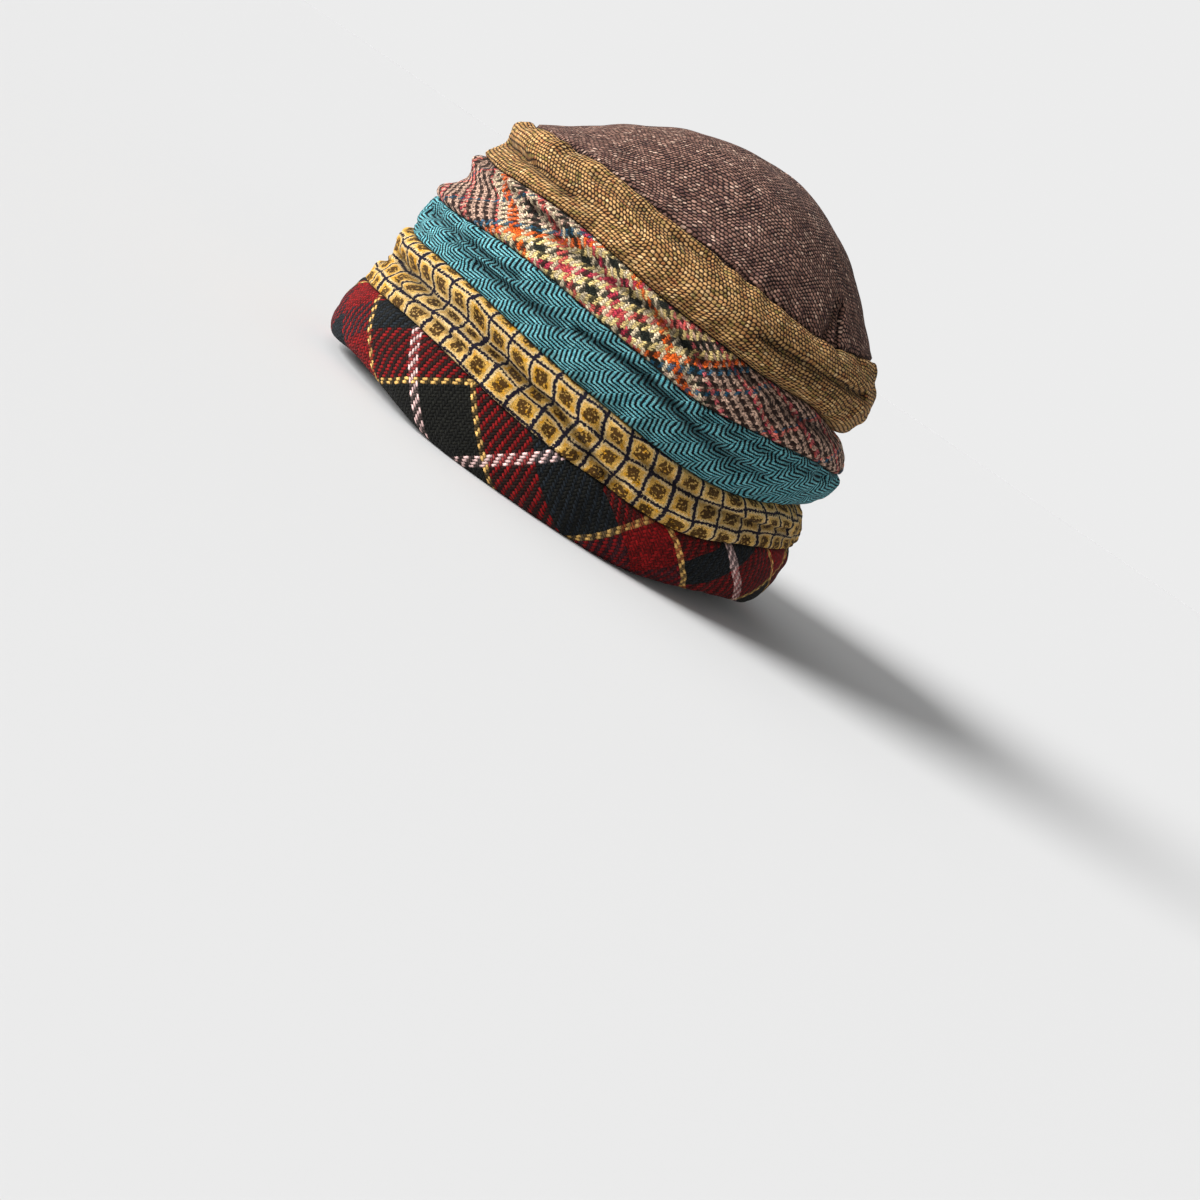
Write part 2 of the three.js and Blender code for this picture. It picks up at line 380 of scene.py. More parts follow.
class Wire:
    """One output socket. Arithmetic on it adds Math nodes and gives new wires."""

    def __init__(self, graph: "Graph", socket: bpy.types.NodeSocket) -> None:
        """Wraps a socket of a graph."""
        self.graph = graph
        self.socket = socket

    def __add__(self, other: "Wire | float") -> "Wire":
        """self + other."""
        return self.graph.math("ADD", self, other)

    __radd__ = __add__

    def __sub__(self, other: "Wire | float") -> "Wire":
        """self - other."""
        return self.graph.math("SUBTRACT", self, other)

    def __rsub__(self, other: float) -> "Wire":
        """other - self."""
        return self.graph.math("SUBTRACT", other, self)

    def __mul__(self, other: "Wire | float") -> "Wire":
        """self * other."""
        return self.graph.math("MULTIPLY", self, other)

    __rmul__ = __mul__

    def __truediv__(self, other: "Wire | float") -> "Wire":
        """self / other."""
        return self.graph.math("DIVIDE", self, other)

    def __mod__(self, other: "Wire | float") -> "Wire":
        """The remainder, never negative, of self / other."""
        return self.graph.math("FLOORED_MODULO", self, other)

    def __pow__(self, other: float) -> "Wire":
        """self to the power of other."""
        return self.graph.math("POWER", self, other)

    def __lt__(self, other: "Wire | float") -> "Wire":
        """1 where self is less than other, and 0 elsewhere."""
        return self.graph.math("LESS_THAN", self, other)

    def __abs__(self) -> "Wire":
        """The size of self without its sign."""
        return self.graph.math("ABSOLUTE", self)

    def floor(self) -> "Wire":
        """The whole number below self."""
        return self.graph.math("FLOOR", self)

    def sine(self) -> "Wire":
        """The sine of self, in radians."""
        return self.graph.math("SINE", self)

    def larger(self, other: "Wire | float") -> "Wire":
        """The larger of self and other."""
        return self.graph.math("MAXIMUM", self, other)

    def smaller(self, other: "Wire | float") -> "Wire":
        """The smaller of self and other."""
        return self.graph.math("MINIMUM", self, other)

    def ramp(self, low: float, high: float) -> "Wire":
        """A soft step from 0 at low to 1 at high."""
        settings = {"interpolation_type": "SMOOTHSTEP"}
        node = self.graph.node("ShaderNodeMapRange", settings, {"Value": self, 1: low, 2: high})
        return Wire(self.graph, node.outputs[0])

    def between(self, low: "Wire | float", high: "Wire | float") -> "Wire":
        """low where self is 0, high where it is 1, and in proportion between."""
        return self * (high - low) + low


Value = Wire | float


class Graph:
    """The nodes of one material, added one by one."""

    def __init__(self, name: str) -> None:
        """Starts a material with an empty node tree."""
        self.material = bpy.data.materials.new(name)
        self.material.use_nodes = True
        self.tree = self.material.node_tree
        self.tree.nodes.clear()

    def node(self, kind: str, settings: dict[str, Any], sockets: dict[str | int, Any]) -> bpy.types.Node:
        """Adds one node.

        Args:
            kind: the node's type.
            settings: the node's own properties; "stops" sets a colour ramp's (place, colour) pairs.
            sockets: a value or a wire for each input that isn't left as it is.

        Returns:
            The node.
        """
        made = self.tree.nodes.new(kind)
        for key, value in settings.items():
            if key == "stops":
                self._set_stops(made.color_ramp, value)
            else:
                setattr(made, key, value)
        for key, value in sockets.items():
            if isinstance(value, Wire):
                self.tree.links.new(value.socket, made.inputs[key])
            else:
                made.inputs[key].default_value = value
        return made

    @staticmethod
    def _set_stops(ramp: bpy.types.ColorRamp, stops: Sequence[tuple[float, Colour]]) -> None:
        """Gives a colour ramp hard-edged stops."""
        ramp.interpolation = "CONSTANT"
        while len(ramp.elements) > 1:
            ramp.elements.remove(ramp.elements[-1])
        ramp.elements[0].position = stops[0][0]
        ramp.elements[0].color = (*stops[0][1], 1)
        for place, colour in stops[1:]:
            ramp.elements.new(place).color = (*colour, 1)

    def math(self, operation: str, first: Value, second: Value | None = None) -> Wire:
        """Adds a Math node.

        Args:
            operation: what it does.
            first: its first number.
            second: its second number, if it takes one.

        Returns:
            The result.
        """
        sockets = {0: first} if second is None else {0: first, 1: second}
        return Wire(self, self.node("ShaderNodeMath", {"operation": operation}, sockets).outputs[0])

    def mix(self, share: Value, first: Wire | Colour, second: Wire | Colour, blend: str = "MIX") -> Wire:
        """Adds a colour Mix node.

        Args:
            share: 0 for the first colour, 1 for the second.
            first: a colour.
            second: a colour.
            blend: how the second is laid over the first.

        Returns:
            The mixed colour.
        """
        first, second = (c if isinstance(c, Wire) else (*c, 1) for c in (first, second))
        settings = {"data_type": "RGBA", "blend_type": blend, "clamp_factor": True}
        made = self.node("ShaderNodeMix", settings, {0: share, 6: first, 7: second})
        return Wire(self, made.outputs[2])

    def vector(self, x: Value, y: Value, z: Value = 0.0) -> Wire:
        """Joins three numbers into a vector."""
        return Wire(self, self.node("ShaderNodeCombineXYZ", {}, {0: x, 1: y, 2: z}).outputs[0])

    def cloth_place(self) -> tuple[Wire, Wire]:
        """The place on the cloth, in millimetres: along the band and up it."""
        place = self.node("ShaderNodeUVMap", {"uv_map": UV_NAME}, {}).outputs[0]
        split = self.node("ShaderNodeSeparateXYZ", {}, {0: Wire(self, place)})
        return Wire(self, split.outputs[0]), Wire(self, split.outputs[1])

    def noise(self, x: Value, y: Value, detail: float = 2.0, layer: float = 0.0) -> Wire:
        """Cloudy noise about 0.5, with features about one unit apart; layer picks another field."""
        sockets = {"Vector": self.vector(x, y, layer), "Scale": 1.0, "Detail": detail}
        return Wire(self, self.node("ShaderNodeTexNoise", {}, sockets).outputs[0])

    def dice(self, x: Value, y: Value, layer: float = 0.0) -> Wire:
        """One even random number from 0 to 1 for each pair of whole numbers."""
        settings = {"noise_dimensions": "3D"}
        made = self.node("ShaderNodeTexWhiteNoise", settings, {0: self.vector(x, y, layer)})
        return Wire(self, made.outputs[0])

    def bands(self, index: Wire, runs: Sequence[tuple[Colour, int]]) -> Wire:
        """The colour of a yarn by its number, from runs of yarns of one colour that repeat.

        Args:
            index: the number of the yarn.
            runs: each run's colour and how many yarns it has.

        Returns:
            The yarn's colour.
        """
        total = sum(count for _, count in runs)
        starts = np.cumsum([0, *(count for _, count in runs)])
        stops = [(float(start) / total, colour) for start, (colour, _) in zip(starts, runs)]
        place = (index % float(total) + 0.5) / float(total)
        return Wire(self, self.node("ShaderNodeValToRGB", {"stops": stops}, {0: place}).outputs[0])

    def finish(self, colour: Wire, relief: Wire, depth: float, sheen: float) -> bpy.types.Material:
        """Closes the material with a wool shader, its base colour darkened by painted shade in the folds,
        creases and wrinkles and beside the seams.

        Args:
            colour: the base colour.
            relief: the height of the weave, from 0 to 1.
            depth: what a height of 1 stands for, in millimetres.
            sheen: how much soft light the fuzz catches.

        Returns:
            The finished material.
        """
        # Painted shade: the base colour is multiplied by 1 - mask * strength, darker in folds, creases,
        # wrinkle valleys and rolled seam edges.
        painted_shade = Wire(self, self.node("ShaderNodeAttribute", {"attribute_name": PAINTED_SHADE_NAME}, {}).outputs["Fac"])
        dim = 1 - painted_shade * PAINTED_SHADE_STRENGTH
        colour = self.mix(1.0, colour, self.vector(dim, dim, dim), "MULTIPLY")
        bump = self.node("ShaderNodeBump", {}, {"Strength": 1.0, "Distance": depth * MM, "Height": relief})
        sockets = {
            "Base Color": colour,
            "Roughness": 0.92,
            "Specular IOR Level": 0.15,
            "Sheen Weight": sheen,
            "Sheen Roughness": 0.45,
            "Normal": Wire(self, bump.outputs[0]),
        }
        shader = self.node("ShaderNodeBsdfPrincipled", {}, sockets)
        self.node("ShaderNodeOutputMaterial", {}, {"Surface": Wire(self, shader.outputs[0])})
        return self.material


def rgb(red: float, green: float, blue: float) -> Colour:
    """A screen colour, 0 to 255, as linear light."""
    shares = (red / 255, green / 255, blue / 255)
    return tuple(((c + 0.055) / 1.055) ** 2.4 if c > 10 / 255 else c / 12.92 for c in shares)


# -------------------------------------------------------------------------------------- weaves


class Lines(Enum):
    """How each row of floats is set off from the one below: by half a float and back, or a step further."""

    STAGGERED = "staggered"
    STEPPED = "stepped"


class Drag(NamedTuple):
    """A stretch along the band over which the cloth comes to lean, in millimetres along for each up."""

    start: float
    end: float
    lean: float


@dataclass(frozen=True)
class Lay:
    """How yarns lie on a band: the step, along the band and up it, from one yarn to the next."""

    warp_step: tuple[float, float]
    weft_step: tuple[float, float]
    drags: tuple[Drag, ...] = ()
    middle: float = 14
    lower_lean: float = 0
    ragged: float = 0.3
    waver: float = 0.5
    drift: float = 1.6

    def yarns(self, graph: Graph) -> tuple[Wire, Wire]:
        """Counts the warp and weft yarns from a corner of the cloth, as numbers with fractions.

        A place is c * warp_step + w * weft_step, so c and w come from the inverse of that matrix. The
        cloth leans where it is dragged, and noise of three sizes makes the weave drift, the yarns
        waver and their edges ragged.

        Args:
            graph: the material's nodes.

        Returns:
            The warp count and the weft count at each place.
        """
        along, up = graph.cloth_place()
        (a, b), (c, d) = np.linalg.inv(np.array([self.warp_step, self.weft_step]).T)
        x = along + (up - self.middle).smaller(0.0) * self.lower_lean
        y = up
        for drag in self.drags:
            x = x + along.ramp(drag.start, drag.end) * ((up - self.middle) * drag.lean)
        for size, amount, layer in ((45, self.drift * 2, 3), (5, self.waver, 11), (0.8, self.ragged, 17)):
            x = x + (graph.noise(along / size, up / size, 0, layer) - 0.5) * amount
            y = y + (graph.noise(along / size, up / size, 0, layer + 4) - 0.5) * amount
        return x * float(a) + y * float(b), x * float(c) + y * float(d)


class Weave(NamedTuple):
    """What a weave gives at each place."""

    warp_up: Wire
    height: Wire
    warp: Wire
    weft: Wire


@dataclass(frozen=True)
class Twill:
    """A two-and-two twill: each yarn goes over two and under two, a step further on in each row."""

    lay: Lay

    def build(self, graph: Graph) -> Weave:
        """Adds the nodes of the weave.

        With i and j the numbers of the yarns, m = (i + j) mod 4 says who is on top: the warp for 0 and
        1, the weft for 2 and 3. A yarn's height is sqrt(1 - (2f - 1)^2) across it, times
        0.35 + 0.65 sin(pi s) along its float.

        Args:
            graph: the material's nodes.

        Returns:
            The weave at each place.
        """
        c, w = self.lay.yarns(graph)
        i, j = c.floor(), w.floor()
        fc, fw = c - i, w - j
        m = (i + j) % 4.0
        warp_up = m < 1.5
        warp_height = self.yarn(fc, (m + fw) * 0.5)
        weft_height = self.yarn(fw, (fc + m - 2) * 0.5)
        return Weave(warp_up, warp_up.between(weft_height, warp_height), i, j)

    @staticmethod
    def yarn(across: Wire, along: Wire) -> Wire:
        """The height of a yarn at a share of its width and of its float."""
        off = across * 2 - 1
        round_across = (1 - off * off * 0.96).larger(0.0) ** 0.5
        return round_across * ((along * math.pi).sine() * 0.65 + 0.35)


def woolly(graph: Graph, colour: Wire, height: Wire, light: Wire, gap: Value) -> Wire:
    """Paints shade into a colour in the gaps between yarns and roughens it with fibres.

    Args:
        graph: the material's nodes.
        colour: the colour of the yarns.
        height: the height of the weave, from 0 to 1.
        light: how light each yarn is, about 1.
        gap: what is left of the colour at the bottom of a gap, where the painted shade is deepest.

    Returns:
        The cloth's colour.
    """
    along, up = graph.cloth_place()
    fibres = graph.noise(along / 0.4, up / 0.4, 2, 23) - 0.5
    hairs = graph.noise((along + up * 0.5) / 0.22, (up - along * 0.5) / 1.3, 1, 26) - 0.5
    patches = graph.noise(along / 7, up / 7, 1, 29) - 0.5
    shade = light + fibres * 0.7 + hairs * 0.9 + patches * 0.35
    # Painted shade: darker towards the bottom of the gaps between yarns, down to gap at the lowest places.
    shade = shade * (height.ramp(0.1, 0.9) * (1 - gap) + gap)
    return graph.mix(1.0, colour, graph.vector(shade, shade, shade), "MULTIPLY")


def twill_colour(
    graph: Graph, weave: Weave, warp: Wire, weft: Wire, uneven: float, felted: Value, gap: Value,
) -> Wire:
    """The colour of woven yarns, uneven from yarn to yarn and from float to float.

    Args:
        graph: the material's nodes.
        weave: the weave.
        warp: the colour of the warp.
        weft: the colour of the weft.
        uneven: how much the yarns differ.
        felted: how far the yarn below shows through the fibres of the one on top, from 0 to 1.
        gap: what is left of the colour at the bottom of a gap, where the painted shade is deepest.

    Returns:
        The cloth's colour.
    """
    yarn = weave.warp_up.between(graph.dice(0.0, weave.weft, 2), graph.dice(weave.warp, 0.0, 1))
    light = (yarn + graph.dice(weave.warp, weave.weft, 5) - 1) * uneven + 1
    share = weave.warp_up * (1 - felted) + felted * 0.5
    return woolly(graph, graph.mix(share, weft, warp), weave.height, light, gap)


Runs = tuple[tuple[Colour, int], ...]

RED = rgb(126, 14, 15)
BLACK_GREEN = rgb(20, 20, 16)
NAVY = rgb(25, 31, 37)
YELLOW = rgb(222, 176, 100)
WHITE = rgb(232, 194, 188)


@dataclass(frozen=True)
class Tartan:
    """Bias-cut tartan twill. The setts are counted in yarns from the start of a white line.

    Towards the back the cloth is felted by wear, so its yarns blend and its ribs fade.
    """

    warp_start: int = 163
    weft_start: int = 146
    warp_sett: Runs = (
        (WHITE, 4), (BLACK_GREEN, 19), (YELLOW, 2), (RED, 16),
        (NAVY, 23), (RED, 16), (YELLOW, 2), (BLACK_GREEN, 17),
    )
    weft_sett: Runs = (
        (WHITE, 4), (BLACK_GREEN, 22), (YELLOW, 2), (RED, 15),
        (NAVY, 12), (RED, 16), (YELLOW, 2), (BLACK_GREEN, 23),
    )
    weave: Twill = Twill(Lay(
        (0.87, 0.70), (0.87, -0.83), drags=(Drag(300, 335, 0.38), Drag(350, 372, -0.42), Drag(385, 410, 0.5)),
        ragged=0.55, drift=0.8,
    ))

    def material(self) -> bpy.types.Material:
        """Builds the material."""
        graph = Graph("tartan_twill")
        weave = self.weave.build(graph)
        warp = graph.bands(weave.warp - self.warp_start, self.warp_sett)
        weft = graph.bands(weave.weft - self.weft_start, self.weft_sett)
        along, _ = graph.cloth_place()
        worn = along.ramp(320, 365) * (1 - along.ramp(520, 590))
        colour = twill_colour(graph, weave, warp, weft, 0.6, worn * 0.34 + 0.12, worn * 0.3 + 0.1)
        return graph.finish(colour, weave.height, 0.6, 0.02)


CREAM = rgb(234, 212, 176)
STRAW = rgb(242, 212, 140)
DARK_CHECK = rgb(34, 38, 30)
PINK_GREY = rgb(208, 170, 148)
DARK_FINE = rgb(50, 32, 26)
CRIMSON = rgb(202, 58, 80)
ROSE = rgb(226, 96, 88)
ORANGE = rgb(246, 106, 34)
BLUE = rgb(40, 92, 118)


@dataclass(frozen=True)
class GlenSett:
    """Broad checks, then fine two-and-two ones with thin coloured lines, counted in yarns."""

    start: int
    broad: Runs
    light: Colour
    dark: Colour
    lines: Runs
    repeat: int = 128

    def colour(self, graph: Graph, index: Wire) -> Wire:
        """The colour of a yarn.

        Args:
            graph: the material's nodes.
            index: the number of the yarn.

        Returns:
            The yarn's colour.
        """
        place = (index - self.start) % float(self.repeat)
        broad_yarns = sum(count for _, count in self.broad)
        fine = graph.mix((place * 0.5).floor() % 2.0, self.light, self.dark)
        line_yarns = sum(count for _, count in self.lines)
        line = graph.bands(place, self.lines)
        on_line = (((place + 1) % (line_yarns / len(self.lines))) < 2.5) * 0.8
        fine = graph.mix(on_line, fine, line)
        return graph.mix(place < broad_yarns - 0.5, fine, graph.bands(place, self.broad))


@dataclass(frozen=True)
class GlenCheck:
    """Bias-cut glen check in heavy, hairy tweed."""

    warp_sett: GlenSett = GlenSett(142, (
        (CREAM, 4), (ORANGE, 4), (CREAM, 4), (DARK_CHECK, 4),
        (CREAM, 4), (ROSE, 4), (CREAM, 4), (DARK_CHECK, 4),
        (CREAM, 4), (CRIMSON, 4), (CREAM, 4), (DARK_CHECK, 4),
        (CREAM, 4), (ORANGE, 4), (CREAM, 4), (DARK_CHECK, 4),
    ), PINK_GREY, DARK_FINE, ((CRIMSON, 16), (ROSE, 16)))
    weft_sett: GlenSett = GlenSett(128, (
        (BLUE, 3), (DARK_CHECK, 1), (ORANGE, 4), (STRAW, 4), (DARK_CHECK, 4), (STRAW, 4),
        (CRIMSON, 4), (STRAW, 4), (DARK_CHECK, 4), (STRAW, 4),
        (ROSE, 4), (STRAW, 4), (DARK_CHECK, 4), (STRAW, 4),
        (ORANGE, 3), (DARK_CHECK, 1), (BLUE, 3),
    ), PINK_GREY, DARK_FINE, ((ROSE, 22), (BLUE, 22)))
    weave: Twill = Twill(Lay((0.845, 0.49), (0.732, -0.49), ragged=1.3, waver=1.0, drift=0.8))

    def material(self) -> bpy.types.Material:
        """Builds the material."""
        graph = Graph("check_tweed")
        weave = self.weave.build(graph)
        warp = self.warp_sett.colour(graph, weave.warp)
        weft = self.weft_sett.colour(graph, weave.weft)
        return graph.finish(twill_colour(graph, weave, warp, weft, 0.5, 0.15, 0.26), weave.height, 0.5, 0.03)


@dataclass(frozen=True)
class Herringbone:
    """Bias-cut herringbone: bold light ribs, serrated by their yarns, on a dark ground."""

    lay: Lay = Lay(
        (0.49, -0.33), (0.49, 0.33), middle=11, lower_lean=0.5, ragged=0.24, waver=0.8, drift=2.6,
    )
    column: int = 7
    serration: float = 0.6
    light: Colour = rgb(72, 142, 152)
    pale: Colour = rgb(120, 184, 190)
    dark: Colour = rgb(5, 30, 39)

    def material(self) -> bpy.types.Material:
        """Builds the material.

        The rib at a place is (facing c + w) mod 4, with facing 1 or -1 by turns from column to column.
        Whole counts there would give steps and counts with fractions smooth ribs; their mixture gives
        ribs with serrated edges. The wave cos(pi (rib - 1) / 2) is the rib's profile.
        """
        graph = Graph("teal_herringbone")
        c, w = self.lay.yarns(graph)
        i, j = c.floor(), w.floor()
        facing = 1 - 2 * ((i / self.column).floor() % 2.0)
        stepped = facing * i + j
        smooth = facing * c + w - facing * 0.5 - 0.5
        place = stepped * self.serration + smooth * (1 - self.serration) + (facing < 0)
        wave = ((place - 0.5) * (math.pi / 2) + math.pi / 2).sine()
        lump = ((c - i) * math.pi).sine()
        height = wave.ramp(-0.75, 0.75) * (lump * 0.25 + 0.75)
        light = (graph.dice(i, j, 5) - 0.5) * 0.3 + (graph.dice(i, 0.0, 1) - 0.5) * 0.25 + 1
        warp = graph.mix(graph.dice(i, j, 9), self.light, self.pale)
        colour = graph.mix(wave.ramp(0.0, 0.42), self.dark, warp)
        return graph.finish(woolly(graph, colour, height, light, 0.22), height, 0.36, 0.03)


@dataclass(frozen=True)
class DottedTweed:
    """A coarse weave seen as rows of light floats on a dark ground."""

    name: str
    pitch: tuple[float, float]
    lines: Lines
    half: tuple[float, float]
    slant: float
    light: Colour
    pale: Colour
    middle: Colour
    dark: Colour
    heather: Runs
    scatter: float
    sway: float
    turning: float

    def material(self) -> bpy.types.Material:
        """Builds the material.

        Each float is an ellipse in its cell of a lattice: height = sqrt(1 - x^2 - y^2), where x and y
        are the offsets from its middle, as shares of its half length and half width.
        """
        graph = Graph(self.name)
        along, up = graph.cloth_place()
        sway_x = (graph.noise(along / 16, up / 16, 1, 3) - 0.5) * self.sway
        sway_y = (graph.noise(along / 16, up / 16, 1, 5) - 0.5) * self.sway * 0.6
        waver_x = (graph.noise(along / 1.6, up / 1.6, 1, 11) - 0.5) * self.scatter
        waver_y = (graph.noise(along / 1.6, up / 1.6, 1, 13) - 0.5) * self.scatter
        x = (along + sway_x + waver_x) / self.pitch[0]
        y = (up + sway_y + waver_y) / self.pitch[1]
        row = y.floor()
        shift = (row % 2.0) * 0.5 if self.lines is Lines.STAGGERED else row * 0.2
        x = x + shift + (graph.dice(0.0, row, 4) - 0.5) * 0.12
        cell = x.floor()
        off_x = (x - cell - 0.5) * self.pitch[0]
        off_y = (y - row - 0.5) * self.pitch[1]
        slant = (graph.noise(along / 9, up / 9, 0, 7) - 0.5) * self.turning + self.slant
        turned_x = off_x + off_y * slant
        turned_y = off_y - off_x * slant
        spread = (turned_x / self.half[0]) ** 2 + (turned_y / self.half[1]) ** 2
        height = (1 - spread).ramp(-0.7, 0.8)
        tone = graph.dice(cell, row, 2)
        colour = graph.mix(tone, self.middle, self.light)
        colour = graph.mix(graph.dice(cell, row, 1).ramp(0.8, 1.0), colour, self.pale)
        strands = graph.noise(along / 9, up / 2.2, 2, 31)
        hue = graph.bands((strands * 20).floor(), self.heather)
        colour = graph.mix(graph.noise(along / 4, up / 2.0, 1, 33).ramp(0.42, 0.7) * 0.8, colour, hue)
        colour = graph.mix(height, self.dark, colour)
        light = tone * 0.3 + 0.85
        return graph.finish(woolly(graph, colour, height, light, 0.55), height, 0.45, 0.03)


@dataclass(frozen=True)
class SquarePrint:
    """Fine wool printed with golden squares on a navy grid, a small sprig in each square."""

    cell: tuple[float, float] = (11.6, 9.0)
    start: tuple[float, float] = (3.9, 6.4)
    gold: Colour = rgb(232, 180, 84)
    amber: Colour = rgb(226, 160, 24)
    straw: Colour = rgb(228, 192, 124)
    pale: Colour = rgb(240, 208, 150)
    navy: Colour = rgb(30, 24, 42)
    brown: Colour = rgb(64, 37, 8)

    def material(self) -> bpy.types.Material:
        """Builds the material.

        A square is where the smaller distance to the grid's lines is over a toothed edge. The sprig is
        two almonds, |y| < b (1 - x^2), that cross, with a broken middle.
        """
        graph = Graph("square_print")
        along, up = graph.cloth_place()
        bend_x = (graph.noise(along / 9, up / 9, 0, 3) - 0.5) * 2.6
        bend_y = (graph.noise(along / 14, up / 14, 0, 9) - 0.5) * 2.6
        rag_x = (graph.noise(along / 0.85, up / 0.85, 1, 13) - 0.5) * 1.9
        rag_y = (graph.noise(along / 0.85, up / 0.85, 1, 19) - 0.5) * 1.9
        tuck = along.ramp(205, 240) * (1 - along.ramp(284, 298)) * (1 - up.ramp(10.0, 15.5)) * 3.6
        x = (along + bend_x - self.start[0]) / self.cell[0]
        y = (up + bend_y - tuck - self.start[1]) / self.cell[1]
        column, row = x.floor(), y.floor()
        off_x = (x - column - 0.5) * self.cell[0] + rag_x
        off_y = (y - row - 0.5) * self.cell[1] + rag_y
        teeth = (abs((along / 0.8) % 2.0 - 1) + abs((up / 0.8) % 2.0 - 1)) * 0.3
        edge = (self.cell[0] / 2 - 0.45 - abs(off_x)).smaller(self.cell[1] / 2 - 0.25 - abs(off_y)) - teeth
        square = edge.ramp(-0.1, 0.15)
        spin = graph.dice(column, row, 5) * 0.7 - 0.35
        ink = self.almond(off_x, off_y, 0.75 + spin).larger(self.almond(off_x, off_y, spin - 0.75))
        broken = graph.noise(along / 1.1, up / 1.1, 1, 21).ramp(0.35, 0.45)
        ink = ink * broken
        fade = graph.noise(along / 50, up / 50, 0, 41).ramp(0.35, 0.7)
        gold = graph.mix(graph.noise(along / 3.4, up / 3.4, 1, 43).ramp(0.5, 0.68), self.gold, self.amber)
        gold = graph.mix(fade * 0.6, gold, self.straw)
        ground = graph.mix(edge.ramp(0.35, 1.1), self.pale, gold)
        smudge = graph.noise(along / 1.6, up / 1.6, 1, 47).ramp(0.55, 0.75) * 0.15
        ground = graph.mix(smudge, ground, self.brown)
        colour = graph.mix(square, self.navy, graph.mix(ink * 0.94, ground, self.brown))
        weave = Twill(Lay((0.36, 0.08), (0.08, -0.4), ragged=0.25, waver=0.2, drift=1.0)).build(graph)
        light = graph.dice(weave.warp, weave.weft, 5) * 0.5 + 0.75
        return graph.finish(woolly(graph, colour, weave.height, light, 0.3), weave.height, 0.2, 0.03)

    @staticmethod
    def almond(x: Wire, y: Wire, lean: float | Wire) -> Wire:
        """1 inside an almond 6 mm long that leans across the square, 0 outside."""
        long = (x + y * lean) / 4.6
        short = (y - x * lean) / 3.3
        return ((1 - long * long).larger(0.0) - abs(short)).ramp(0.0, 0.2)


# ------------------------------------------------------------------------------ pieces of cloth


class Cut(NamedTuple):
    """The cloth of one piece before it was sewn in, in metres: its area too where it isn't a strip."""

    width: float
    length: float
    area: float | None = None


